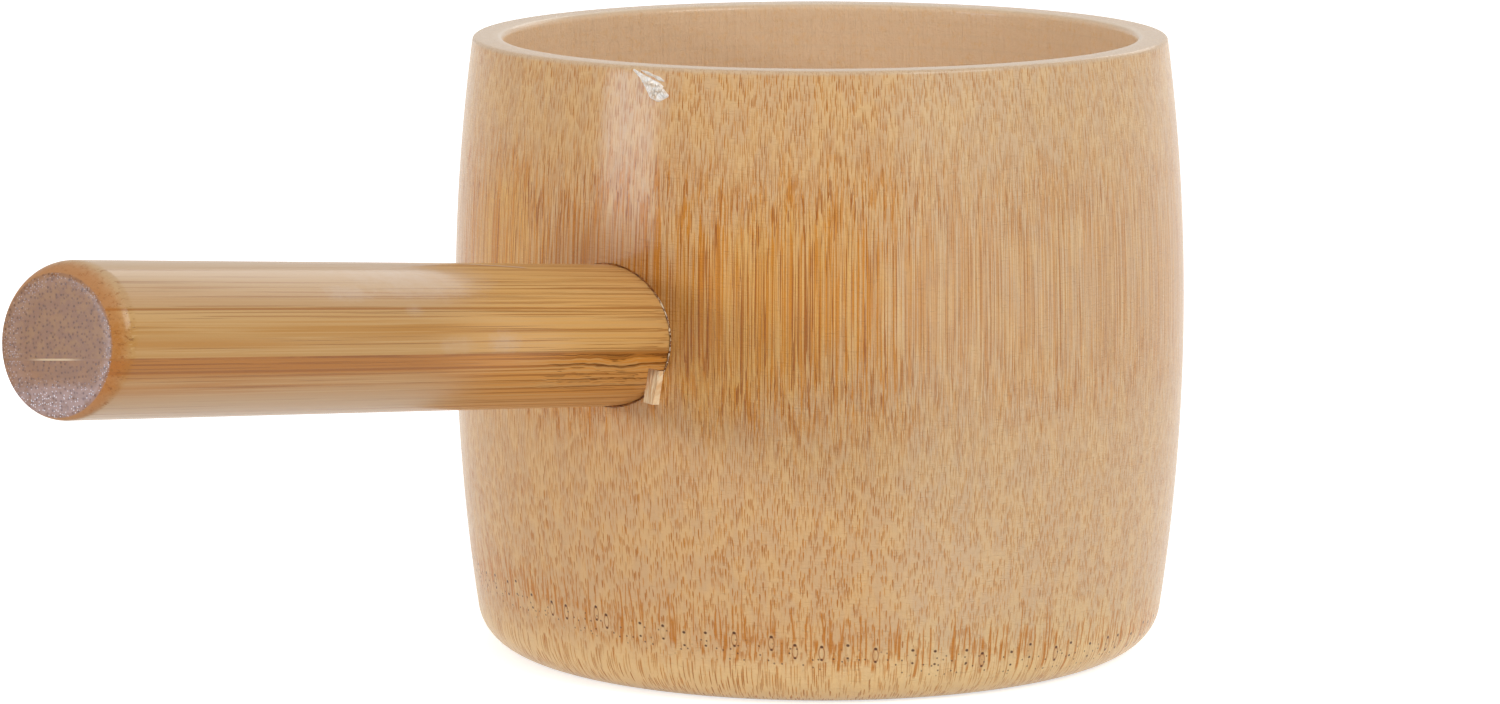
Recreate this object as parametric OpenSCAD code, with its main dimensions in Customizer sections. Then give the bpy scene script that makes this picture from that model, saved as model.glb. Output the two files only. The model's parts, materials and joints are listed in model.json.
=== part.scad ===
// Bamboo water dipper: a cup turned from one section of a thick culm, whose own node
// is the floor, and a straight handle of two plies glued together and turned round.
// The handle goes through a hole in the wall, where glue and one driven wedge hold it.
// The frame stands on the ground: +Z is up, the cup's axis is Z, the handle points to -Y.

/* [Cup] */
// Radius of the turned side where it is widest
belly_r = 54; // [49:0.5:62]
// Height of the widest point above the ground
belly_z = 49; // [42:1:58]
// Radius of the curve that the side is turned to
side_curve_r = 305; // [240:5:600]
// Height of the rim above the ground
cup_h = 90.5; // [80:0.5:110]
// Rounding between the side and the underside
foot_round = 6.6; // [4:0.2:9]
// Thickness of the wall at the rim
rim_wall = 4.6; // [3.4:0.2:7]
// Rounding of the rim's outer edge
rim_round_out = 0.6; // [0.2:0.1:1.2]
// Rounding of the rim's inner edge
rim_round_in = 1; // [0.2:0.1:1.8]

/* [Floor] */
// Depth of the hollow under the floor
foot_hollow = 4; // [3:0.25:6]
// Width of the flat ring that the cup stands on
foot_ring_w = 6.5; // [4:0.25:10]
// Thickness of the floor, which is the node's own wall
floor_t = 5.5; // [3:0.25:9]
// How far the floor sags from its edge to its centre
floor_sag = 1.5; // [0.5:0.25:2.5]
// Rounding between the wall and the floor, inside
floor_round = 8; // [3:0.5:14]
// Rounding between the hollow's side and the floor, underneath
hollow_round = 2; // [0.5:0.25:2.25]
// Rounding of the foot ring's inner edge
foot_edge = 0.6; // [0.2:0.1:0.7]

/* [Handle] */
// Radius of the handle's dowel
dowel_r = 10; // [7:0.25:12]
// Length of the dowel outside the cup, along its axis
handle_l = 117; // [60:1:260]
// How far the dowel's inner end stands out of the wall inside the cup
inner_l = 5; // [2:0.5:12]
// Upward slope of the handle, in degrees
handle_slope = 7; // [0:0.5:14]
// Height at which the handle's axis leaves the side
socket_z = 52.5; // [42:0.5:58]
// How far the dowel is turned about its own axis, in degrees
dowel_roll = 5; // [-10:1:10]
// Rounding of the dowel's free end
end_round = 1.3; // [0.4:0.1:3]
// Bevel of the dowel's inner end
inner_bevel = 0.7; // [0.2:0.1:1.5]
// How much the dowel is sanded down where it sits in the wall
tenon_ease = 0.25; // [0.2:0.05:0.4]
// Length over which the dowel is sanded down to that
sanded_l = 4; // [2:0.5:6]
// Gap between the cup's side and the dowel's full thickness
sanded_clear = 1.5; // [1:0.25:3]
// Thickness of the glue between the two plies
ply_glue_t = 0.25; // [0.15:0.05:0.6]
// How far the glued joint of the plies lies below the dowel's axis
ply_glue_drop = 2.4; // [-2:0.2:3.4]

/* [Socket] */
// Gap round the dowel in the hole of the wall, which the glue fills
socket_gap = 0.4; // [0.2:0.05:0.8]
// How far the glue in the gap stays below the cup's side
glue_sink = 0.8; // [0.3:0.1:1.5]

/* [Wedge] */
// Width of the wedge along the edge of the hole
wedge_w = 4.8; // [3:0.2:6.4]
// Thickness of the wedge at its outer end
wedge_t = 2.3; // [1.4:0.1:3]
// Thickness of the wedge at its tip
wedge_tip_t = 0.8; // [0.4:0.1:1.2]
// How much of the wall is left beyond the wedge's tip
wedge_stop = 1.2; // [0.8:0.2:3]
// How far the wedge stands out of the cup's side
wedge_proud = 1.5; // [0.5:0.1:3]
// How much the wedge's cut outer end slants
wedge_slant = 0.5; // [0:0.1:1]
// Where the wedge sits round the dowel, in degrees from level
wedge_clock = -40; // [-60:1:-35]
// How far the wedge's middle lies outside the dowel's surface
wedge_out = 0.6; // [0:0.1:1]
// Lean of the wedge's width from upright, in degrees
wedge_lean = 6; // [-10:1:15]

/* [Hidden] */

// Steps along each curve of the outlines
side_steps = 18;
round_steps = 8;
edge_steps = 4;
floor_steps = 8;
// How far a cutter runs past what it cuts
past = 4;

bamboo_side = "burlywood";
bamboo_handle = "peru";
bamboo_pale = "wheat";
glue_clear = "rosybrown";

// The side is an arc about this radius, level with the belly
side_centre_r = belly_r - side_curve_r;
// Radius of the side at a height, a depth under its surface
function side_r(z, depth = 0) = side_centre_r + sqrt(pow(side_curve_r - depth, 2) - pow(z - belly_z, 2));
function arc_points(centre, r, from, to, steps) =
    [for (i = [0:steps]) let (a = from + (to - from) * i / steps) centre + r * [cos(a), sin(a)]];

// The foot's rounding touches both the ground and the side
foot_round_r = side_centre_r + sqrt(pow(side_curve_r - foot_round, 2) - pow(foot_round - belly_z, 2));
foot_round_end = atan2(foot_round - belly_z, foot_round_r - side_centre_r);
hollow_r = foot_round_r - foot_ring_w;
hollow_flat_r = hollow_r - hollow_round;
cavity_r = side_r(cup_h) - rim_wall;
cavity_flat_r = cavity_r - floor_round;
floor_z = foot_hollow + floor_t;
rim_edge_z = cup_h - rim_round_out;
rim_edge_a = asin((rim_edge_z - belly_z) / side_curve_r);

// Height of the sagging floor at a radius, where its edge is level with edge_z
function sag_z(r, edge_r, edge_z) = edge_z - floor_sag * (1 - pow(r / edge_r, 2));
function floor_curve(edge_r, edge_z, outwards) =
    [for (i = [0:floor_steps])
        let (share = i / floor_steps, r = edge_r * (outwards ? share : 1 - share))
        [r, sag_z(r, edge_r, edge_z)]];

function cup_outline() = concat(
    floor_curve(hollow_flat_r, foot_hollow, true),
    arc_points([hollow_flat_r, foot_hollow - hollow_round], hollow_round, 90, 0, round_steps),
    arc_points([hollow_r + foot_edge, foot_edge], foot_edge, 180, 270, edge_steps),
    arc_points([foot_round_r, foot_round], foot_round, -90, foot_round_end, round_steps),
    arc_points([side_centre_r, belly_z], side_curve_r, foot_round_end, rim_edge_a, side_steps),
    arc_points([side_r(rim_edge_z) - rim_round_out, rim_edge_z], rim_round_out, 0, 90, edge_steps),
    arc_points([cavity_r + rim_round_in, cup_h - rim_round_in], rim_round_in, 90, 180, edge_steps),
    arc_points([cavity_flat_r, floor_z + floor_round], floor_round, 0, -90, round_steps),
    floor_curve(cavity_flat_r, floor_z, false)
);

// Lengths along the handle's axis are counted from the cup's axis
socket_s = side_r(socket_z) / cos(handle_slope);
axis_z = socket_z - side_r(socket_z) * tan(handle_slope);
hole_r = dowel_r + socket_gap;
tenon_r = dowel_r - tenon_ease;
dowel_end_s = socket_s + handle_l;
dowel_inner_s = cavity_r / cos(handle_slope) - inner_l;
hole_inner_s = dowel_inner_s - past;
// Where a line along the dowel, across and up from its axis, meets a round wall of this radius
function meet_s(wall_r, across, up) =
    (sqrt(pow(wall_r, 2) - pow(across, 2)) + up * sin(handle_slope)) / cos(handle_slope);
// Where such a line leaves the cup's side
function leave_s(across, up) =
    meet_s(side_r(axis_z + socket_s * sin(handle_slope) + up * cos(handle_slope)), across, up);

wedge_r = dowel_r + wedge_out;
wedge_x = wedge_r * cos(wedge_clock);
wedge_y = wedge_r * sin(wedge_clock);
wedge_end_s = leave_s(wedge_x, wedge_y) + wedge_proud;
wedge_l = wedge_end_s - meet_s(cavity_r, wedge_x, wedge_y) - wedge_stop;
full_dowel_s = max(leave_s(0, hole_r), wedge_end_s) + sanded_clear;

// Stands its children along the handle's axis, which runs out of the cup's axis
module along_handle() {
    translate([0, 0, axis_z]) rotate([90 - handle_slope, 0, 0]) children();
}

// The wedge's own shape, which also cuts its seat in the wall and in the dowel
module wedge_shape() {
    along_handle()
        translate([wedge_x, wedge_y, wedge_end_s]) rotate([0, 0, -wedge_lean]) rotate([90, 0, 0])
            linear_extrude(height = wedge_w, center = true)
                polygon([
                    [-wedge_t / 2, -wedge_slant],
                    [wedge_t / 2, 0],
                    [wedge_tip_t / 2, -wedge_l],
                    [-wedge_tip_t / 2, -wedge_l]
                ]);
}

// The whole dowel, with its seat for the wedge, before the plies are told apart
module dowel() {
    difference() {
        along_handle() rotate([0, 0, dowel_roll]) rotate_extrude($fn = 96)
            polygon(concat(
                [
                    [0, dowel_inner_s],
                    [tenon_r - inner_bevel, dowel_inner_s],
                    [tenon_r, dowel_inner_s + inner_bevel],
                    [tenon_r, full_dowel_s - sanded_l],
                    [dowel_r, full_dowel_s]
                ],
                arc_points([dowel_r - end_round, dowel_end_s - end_round], end_round, 0, 90, round_steps),
                [[0, dowel_end_s]]
            ));
        wedge_shape();
    }
}

// The layer of the dowel between two heights in its own turned frame
module dowel_layer(low, high) {
    intersection() {
        dowel();
        along_handle() rotate([0, 0, dowel_roll])
            translate([-dowel_r - past, low, dowel_inner_s - past])
                cube([2 * (dowel_r + past), high - low, dowel_end_s - dowel_inner_s + 2 * past]);
    }
}

module cup() {
    color(bamboo_side)
        difference() {
            rotate_extrude($fn = 180) polygon(cup_outline());
            along_handle() translate([0, 0, hole_inner_s])
                cylinder(r = hole_r, h = socket_s + past - hole_inner_s, $fn = 96);
            wedge_shape();
        }
}

module handle_upper_ply() {
    color(bamboo_handle) dowel_layer(ply_glue_t / 2 - ply_glue_drop, dowel_r + past);
}

module handle_lower_ply() {
    color(bamboo_handle) dowel_layer(-dowel_r - past, -ply_glue_t / 2 - ply_glue_drop);
}

module handle_glue_line() {
    color(bamboo_pale) dowel_layer(-ply_glue_t / 2 - ply_glue_drop, ply_glue_t / 2 - ply_glue_drop);
}

// Glue sleeve in the hole: flush with the wall inside, sunk a little below the side
module socket_glue() {
    low = socket_z - hole_r - past;
    high = socket_z + hole_r + past;
    color(glue_clear)
        difference() {
            intersection() {
                along_handle() translate([0, 0, hole_inner_s])
                    cylinder(r = hole_r, h = socket_s + past - hole_inner_s, $fn = 96);
                rotate_extrude($fn = 180)
                    polygon(concat(
                        [[cavity_r, high], [cavity_r, low]],
                        [for (i = [0:side_steps])
                            let (z = low + (high - low) * i / side_steps) [side_r(z, glue_sink), z]]
                    ));
            }
            dowel();
            wedge_shape();
        }
}

module socket_wedge() {
    color(bamboo_pale) wedge_shape();
}

cup();
handle_upper_ply();
handle_lower_ply();
handle_glue_line();
socket_glue();
socket_wedge();
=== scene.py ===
"""Dresses the bamboo water dipper: a turned cup, a glued two-ply handle, its socket and a driven wedge."""

import json
import logging
import math
from dataclasses import dataclass, field
from enum import Enum

import bpy
import numpy as np
from mathutils import Matrix, Vector


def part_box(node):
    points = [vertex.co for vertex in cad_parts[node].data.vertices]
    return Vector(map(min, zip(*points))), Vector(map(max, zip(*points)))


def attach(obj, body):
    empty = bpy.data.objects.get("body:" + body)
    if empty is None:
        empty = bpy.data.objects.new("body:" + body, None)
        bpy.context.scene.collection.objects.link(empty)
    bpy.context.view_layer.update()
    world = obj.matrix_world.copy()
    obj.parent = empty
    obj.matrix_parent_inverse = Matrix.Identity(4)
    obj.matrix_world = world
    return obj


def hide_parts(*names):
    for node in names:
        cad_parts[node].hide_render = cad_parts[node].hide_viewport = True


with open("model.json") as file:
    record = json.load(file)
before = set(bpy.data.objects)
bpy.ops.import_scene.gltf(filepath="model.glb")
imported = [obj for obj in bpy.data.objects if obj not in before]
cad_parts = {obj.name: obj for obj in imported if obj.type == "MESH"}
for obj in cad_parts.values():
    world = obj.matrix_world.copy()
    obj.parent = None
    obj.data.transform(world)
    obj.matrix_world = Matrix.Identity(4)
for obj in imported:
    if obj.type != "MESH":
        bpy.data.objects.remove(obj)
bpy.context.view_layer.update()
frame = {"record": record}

LOG = logging.getLogger("dipper")
MM = 0.001
SLIVER_CORNERS = ((7.25, -3.9), (9.2, -4.3), (8.35, -9.08), (6.74, -8.85))
Row = np.ndarray
Colour = tuple[float, float, float]
Span = tuple[float, float]


def mount(name: str) -> dict:
    """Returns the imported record's mount of this name."""
    return next(m for m in frame["record"]["mounts"] if m["name"] == name)


def linear(tone: Colour) -> tuple[float, float, float, float]:
    """Turns a screen colour in steps of 255 into Blender's linear colour, by the sRGB curve."""
    parts = [c / 255 for c in tone]
    return (*[p / 12.92 if p <= 0.04045 else ((p + 0.055) / 1.055) ** 2.4 for p in parts], 1.0)


def ripple(a: Row, b: Row, seed: int, waves: int = 5) -> Row:
    """A smooth random surface: a sum of sine waves whose directions and phases come from a seed.

    Args:
        a: First coordinate, in wave lengths.
        b: Second coordinate, in wave lengths.
        seed: Number that fixes the waves.
        waves: How many waves are added.

    Returns:
        Heights of about -1 to 1.
    """
    rng = np.random.default_rng(seed)
    total = np.zeros(np.broadcast(a, b).shape)
    for turn, phase, pitch in rng.uniform((0, 0, 0.6), (math.pi, math.tau, 1.6), (waves, 3)):
        total += np.sin(math.tau * pitch * (a * math.cos(turn) + b * math.sin(turn)) + phase)
    return total / math.sqrt(2 * waves)


def skin(name: str, rows: Row, poles: bool = True) -> bpy.types.Object:
    """Makes a closed mesh from a grid of points.

    Each row is a ring of points and neighbouring rings are joined by quads. With poles, the first
    and the last ring each stand for one point. Without, the last ring joins the first.

    Args:
        name: The object's name.
        rows: Points as rings, points and coordinates, in metres.
        poles: Whether the grid starts and ends in a point.

    Returns:
        The linked object, with faces outwards and smooth shading.
    """
    rings, count = rows.shape[:2]
    index = np.arange(rings * count).reshape(rings, count)
    points = rows.reshape(-1, 3)
    if poles:
        index[0] = index[0, 0]
        index[-1] = index[-1, 0]
    after = np.roll(index, -1, axis=1)
    low, high = (index[:-1], index[1:]) if poles else (index, np.roll(index, -1, axis=0))
    low_after, high_after = (after[:-1], after[1:]) if poles else (after, np.roll(after, -1, axis=0))
    quads = np.stack([low, low_after, high_after, high], axis=-1).reshape(-1, 4)
    a, b, c, d = (points[quads[:, k]] for k in range(4))
    volume = np.einsum("ij,ij->", a, np.cross(b, c)) + np.einsum("ij,ij->", a, np.cross(c, d))
    if volume < 0:
        quads = quads[:, ::-1]
    used, where = np.unique(quads, return_inverse=True)
    where = where.reshape(quads.shape)
    faces = [tuple(dict.fromkeys(face)) for face in where.tolist()]
    mesh = bpy.data.meshes.new(name)
    mesh.from_pydata(points[used].tolist(), [], faces)
    mesh.validate()
    piece = placed(name, mesh)
    soften(piece)
    return piece


def placed(name: str, data: bpy.types.ID) -> bpy.types.Object:
    """Makes an object from its data and links it to the scene."""
    made = bpy.data.objects.new(name, data)
    bpy.context.scene.collection.objects.link(made)
    return made


def carve(piece: bpy.types.Object, tool: bpy.types.Object) -> None:
    """Takes a tool's body out of a piece, leaves the result in the piece's mesh and removes the tool."""
    cut = piece.modifiers.new("cut", "BOOLEAN")
    cut.operation = "DIFFERENCE"
    cut.solver = "EXACT"
    cut.object = tool
    ready = piece.evaluated_get(bpy.context.evaluated_depsgraph_get())
    carved = bpy.data.meshes.new_from_object(ready)
    piece.modifiers.clear()
    old = piece.data
    piece.data = carved
    bpy.data.meshes.remove(old)
    bpy.data.objects.remove(tool)
    soften(piece)


def soften(piece: bpy.types.Object, sharp_from: float = 38.0) -> None:
    """Shades a piece smooth, with edges sharp from an angle in degrees."""
    piece.data.shade_smooth()
    piece.data.set_sharp_from_angle(angle=math.radians(sharp_from))


def circle(count: int) -> Row:
    """Evenly spaced angles once round, from 0."""
    return np.linspace(0, math.tau, count, endpoint=False)


def arc(centre: tuple[float, float], r: float, start: float, end: float, steps: int) -> Row:
    """Points on a circle's arc: centre plus r times the cosine and sine of angles in degrees."""
    turn = np.radians(np.linspace(start, end, steps + 1))
    return np.stack([centre[0] + r * np.cos(turn), centre[1] + r * np.sin(turn)], axis=-1)


def along(start: tuple[float, float], end: tuple[float, float], steps: int) -> Row:
    """Points on a straight line, both ends left out."""
    share = np.linspace(0, 1, steps + 2)[1:-1, None]
    return np.array(start) * (1 - share) + np.array(end) * share


@dataclass(frozen=True)
class Barrel:
    """The side of the cup: an arc of one radius, turned about the cup's axis."""

    belly_r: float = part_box("cup")[1].y
    belly_z: float = 49 * MM
    curve_r: float = 305 * MM

    def radius(self, z: Row, depth: Row = 0.0) -> Row:
        """Radius at a height: the arc's centre plus its half chord there, a depth under the skin."""
        return self.belly_r - self.curve_r + np.sqrt((self.curve_r - depth) ** 2 - (z - self.belly_z) ** 2)

    def point(self, turn: Row, z: Row, depth: Row = 0.0) -> Row:
        """Points on the side at polar angles and heights, a depth under the skin."""
        r = self.radius(z, depth)
        return np.stack(np.broadcast_arrays(r * np.cos(turn), r * np.sin(turn), z), axis=-1)


@dataclass(frozen=True)
class HandleAxis:
    """The handle's own frame: across is +X, up is square to the axis, out runs from the cup's axis."""

    out: tuple[float, float, float] = tuple(mount("handle_grip")["axis"])
    passes: tuple[float, float, float] = tuple(mount("handle_grip")["pos_m"])
    r: float = mount("handle_grip")["dims"]["r_mm"] * MM
    roll: float = 5.0

    @property
    def foot(self) -> Row:
        """The point where the handle's axis meets the cup's axis."""
        steps = self.passes[1] / self.out[1]
        return np.array(self.passes) - steps * np.array(self.out)

    def place(self, across: Row, up: Row, out: Row, rolled: bool = False) -> Row:
        """Puts points of the handle's frame into the row's frame.

        Args:
            across: Distances to the right of the axis.
            up: Distances above the axis.
            out: Distances from the cup's axis.
            rolled: Whether the plies' own turn about the axis is added.

        Returns:
            Points with a last axis of x, y and z.
        """
        if rolled:
            c, s = math.cos(math.radians(self.roll)), math.sin(math.radians(self.roll))
            across, up = across * c - up * s, across * s + up * c
        _, away, rise = self.out
        parts = (across, up * rise + out * away, -up * away + out * rise)
        return np.stack(np.broadcast_arrays(*parts), axis=-1) + self.foot

    def leaves(self, side: Barrel, across: Row, up: Row) -> Row:
        """How far out a line along the handle leaves the cup's side, found by five closer guesses."""
        _, away, rise = self.out
        out = np.full(np.broadcast(across, up).shape, side.belly_r)
        for _ in range(5):
            z = self.foot[2] - up * away + out * rise
            out = (np.sqrt(side.radius(z) ** 2 - across**2) + up * rise) / -away
        return out


class Value:
    """An output of a shader graph. Arithmetic on it adds a Math node and gives the node's output."""

    def __init__(self, graph: "Graph", socket: bpy.types.NodeSocket) -> None:
        """Keeps the socket, all outputs of its node and the graph that the next nodes go into."""
        self.graph = graph
        self.socket = socket
        self.others = socket.node.outputs

    def __add__(self, other: "Value | float") -> "Value":
        """This plus the other."""
        return self.graph.math("ADD", self, other)

    def __radd__(self, other: float) -> "Value":
        """A number plus this."""
        return self.graph.math("ADD", other, self)

    def __sub__(self, other: "Value | float") -> "Value":
        """This minus the other."""
        return self.graph.math("SUBTRACT", self, other)

    def __rsub__(self, other: float) -> "Value":
        """A number minus this."""
        return self.graph.math("SUBTRACT", other, self)

    def __mul__(self, other: "Value | float") -> "Value":
        """This times the other."""
        return self.graph.math("MULTIPLY", self, other)

    def __truediv__(self, other: "Value | float") -> "Value":
        """This over the other."""
        return self.graph.math("DIVIDE", self, other)

    def __abs__(self) -> "Value":
        """This without its sign."""
        return self.graph.math("ABSOLUTE", self)


Number = Value | float
Place = tuple[Value, Value, Value]


class Graph:
    """Adds shader nodes to one material by short calls."""

    def __init__(self, name: str) -> None:
        """Makes an empty material with an output and a Principled shader."""
        self.material = bpy.data.materials.new(name)
        self.material.use_nodes = True
        self.tree = self.material.node_tree
        self.tree.nodes.clear()
        self.shader = self.tree.nodes.new("ShaderNodeBsdfPrincipled")
        end = self.tree.nodes.new("ShaderNodeOutputMaterial")
        self.tree.links.new(self.shader.outputs[0], end.inputs["Surface"])

    def put(self, value: object, socket: bpy.types.NodeSocket) -> None:
        """Links an output to an input, or sets the input's own value."""
        if isinstance(value, Value):
            self.tree.links.new(value.socket, socket)
        else:
            socket.default_value = value

    def node(self, kind: str, inputs: dict, output: int | str = 0, **settings: object) -> Value:
        """Makes a node, sets its properties, fills its inputs by name or number and returns one output."""
        made = self.tree.nodes.new(kind)
        for key, value in settings.items():
            setattr(made, key, value)
        for key, value in inputs.items():
            self.put(value, made.inputs[key])
        return Value(self, made.outputs[output])

    def math(self, operation: str, a: Number, b: Number = 0.0) -> Value:
        """One Math node."""
        return self.node("ShaderNodeMath", {0: a, 1: b}, operation=operation)

    def most(self, a: Number, b: Number) -> Value:
        """The larger of two values."""
        return self.math("MAXIMUM", a, b)

    def hypot(self, a: Value, b: Value) -> Value:
        """The root of the sum of two squares."""
        return self.math("SQRT", a * a + b * b)

    def step(self, value: Value, low: float, high: float) -> Value:
        """Smooth rise from 0 at low to 1 at high; it falls where low is the larger."""
        start, end = (0.0, 1.0) if low <= high else (1.0, 0.0)
        inputs = {0: value, 1: min(low, high), 2: max(low, high), 3: start, 4: end}
        return self.node("ShaderNodeMapRange", inputs, interpolation_type="SMOOTHSTEP")

    def split(self, vector: Value) -> Place:
        """The three parts of a vector."""
        parts = self.node("ShaderNodeSeparateXYZ", {0: vector}).others
        return tuple(Value(self, part) for part in parts)

    def join(self, x: Number, y: Number, z: Number = 0.0) -> Value:
        """A vector from three parts."""
        return self.node("ShaderNodeCombineXYZ", {0: x, 1: y, 2: z})

    def noise(self, vector: Value, detail: float, rough: float, output: str = "Fac") -> Value:
        """Noise of about 0 to 1, one wave per unit of the vector."""
        inputs = {"Vector": vector, "Scale": 1.0, "Detail": detail, "Roughness": rough}
        return self.node("ShaderNodeTexNoise", inputs, output)

    def cells(self, x: Number, y: Number, random: float = 1.0) -> Place:
        """Voronoi cells in a plane, one per unit: the nearest point's distance, chances and place."""
        inputs = {"Vector": self.join(x, y), "Scale": 1.0, "Randomness": random}
        near = self.node("ShaderNodeTexVoronoi", inputs, "Distance", voronoi_dimensions="2D")
        return near, Value(self, near.others["Color"]), Value(self, near.others["Position"])

    def chances(self, cell: Value, seed: float) -> Place:
        """Three random numbers for every whole number and seed."""
        where = {"Vector": self.join(cell, seed)}
        return self.split(self.node("ShaderNodeTexWhiteNoise", where, "Color", noise_dimensions="3D"))

    def mix(self, share: Number, a: Value | Colour, b: Value | Colour) -> Value:
        """Mixes two colours; plain ones are screen colours."""
        a, b = (linear(c) if isinstance(c, tuple) else c for c in (a, b))
        return self.node("ShaderNodeMix", {0: share, 6: a, 7: b}, 2, data_type="RGBA", clamp_factor=True)

    def paint(self, ground: Value | Colour, *coats: tuple) -> Value:
        """Lays coats on a ground, one over another, each with its share and its colour."""
        for share, tone in coats:
            ground = self.mix(share, ground, tone)
        return ground

    def bump(self, height: Value, depth: float, under: Value | None = None) -> Value:
        """A bump whose height of 1 stands for a depth in metres."""
        inputs = {"Strength": 1.0, "Distance": depth, "Height": height}
        if under is not None:
            inputs["Normal"] = under
        return self.node("ShaderNodeBump", inputs)

    def mapped(self, **inputs: object) -> Value:
        """The point on the piece, turned and moved, in millimetres."""
        where = self.node("ShaderNodeTexCoord", {}, "Object")
        return self.node("ShaderNodeMapping", {"Vector": where, "Scale": (1 / MM,) * 3, **inputs})

    def handle_mm(self, axis: HandleAxis, rolled: bool = True) -> Place:
        """The point in the handle's frame: across, up and out, in millimetres."""
        roll = Matrix.Rotation(-math.radians(axis.roll) if rolled else 0.0, 3, "Z")
        turn = roll @ Matrix.Rotation(math.asin(axis.out[2]) - math.pi / 2, 3, "X")
        shift = turn @ (-1 / MM * Vector(axis.foot))
        return self.split(self.mapped(Location=shift, Rotation=turn.to_euler("XYZ")))

    def finished(self, colour: Value, bump: Value, gloss: "Gloss") -> bpy.types.Material:
        """Links colour and bump, sets the gloss and returns the material."""
        self.put(colour, self.shader.inputs["Base Color"])
        self.put(bump, self.shader.inputs["Normal"])
        gloss.put_on(self)
        return self.material


@dataclass(frozen=True)
class Grain:
    """A noise of long threads: waves per millimetre across and along them, fineness and a shift along."""

    across: float
    along: float
    detail: float = 2.0
    rough: float = 0.5
    shift: float = 0.0

    def at(self, x: Value, y: Value, z: Value, output: str = "Fac") -> Value:
        """The noise at a point whose last coordinate runs along the threads."""
        g = z.graph
        along = z * self.along + self.shift if self.shift else z * self.along
        return g.noise(g.join(x * self.across, y * self.across, along), self.detail, self.rough, output)

    def drift(self, x: Value, y: Value, z: Value) -> Place:
        """Three such noises, each about 0."""
        return tuple(part - 0.5 for part in z.graph.split(self.at(x, y, z, "Color")))


class Gloss(Enum):
    """How a finish shines: roughness, coat weight, coat roughness and specular level."""

    SATIN_LACQUER = (0.6, 0.5, 0.16, 0.1)
    WET_LACQUER = (0.3, 1.0, 0.03, 0.5)
    BARE = (0.62, 0.0, 0.3, 0.3)

    def put_on(self, graph: Graph) -> None:
        """Sets the shader's constant sockets."""
        rough, coat, coat_rough, mirror = self.value
        graph.shader.inputs["Specular IOR Level"].default_value = mirror
        graph.shader.inputs["Roughness"].default_value = rough
        graph.shader.inputs["Coat Weight"].default_value = coat
        graph.shader.inputs["Coat Roughness"].default_value = coat_rough


@dataclass(frozen=True)
class Patch:
    """A place on the cup's side where more of the culm's outer layer is left: warmer and denser."""

    turn: float
    z: float
    half_turn: float
    half_z: float
    layer: float

    def reach(self, g: Graph, turn: Value, z: Value) -> Value:
        """The layer's extra thickness at a polar angle and height: a bell in both."""
        along_turn = (turn - math.radians(self.turn)) / math.radians(self.half_turn)
        along_z = (z - self.z) / self.half_z
        power = along_turn * along_turn + along_z * along_z
        return g.math("EXPONENT", power * -1.0) * self.layer


@dataclass(frozen=True)
class NodeMark:
    """One set of upright streaks at the culm's node, measured in millimetres from its line."""

    pitch: float
    seed: float
    top: float
    low: float
    thick: float
    share: float

    def mask(self, g: Graph, turn: Value, above: Value, belly: float) -> Value:
        """1 on a streak: one chance per cell round the cup gives its place, its ends and its bend."""
        cell = turn * (round(math.tau * belly / self.pitch) / math.tau)
        luck, shift, bend = g.chances(g.math("FLOOR", cell), self.seed)
        curve = (bend - 0.5) * (above * above) * 0.05
        flat = (g.math("FRACT", cell) - 0.5 - (shift - 0.5) * 0.4) * self.pitch + curve
        ends = g.step(above - shift * self.top, 0.7, -0.5) * g.step(above - bend * self.low, -0.6, 0.3)
        line = g.step(abs(flat), self.thick + 0.06, self.thick - 0.07)
        return line * g.step(luck, self.share + 0.05, self.share - 0.05) * ends * 0.9


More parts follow.
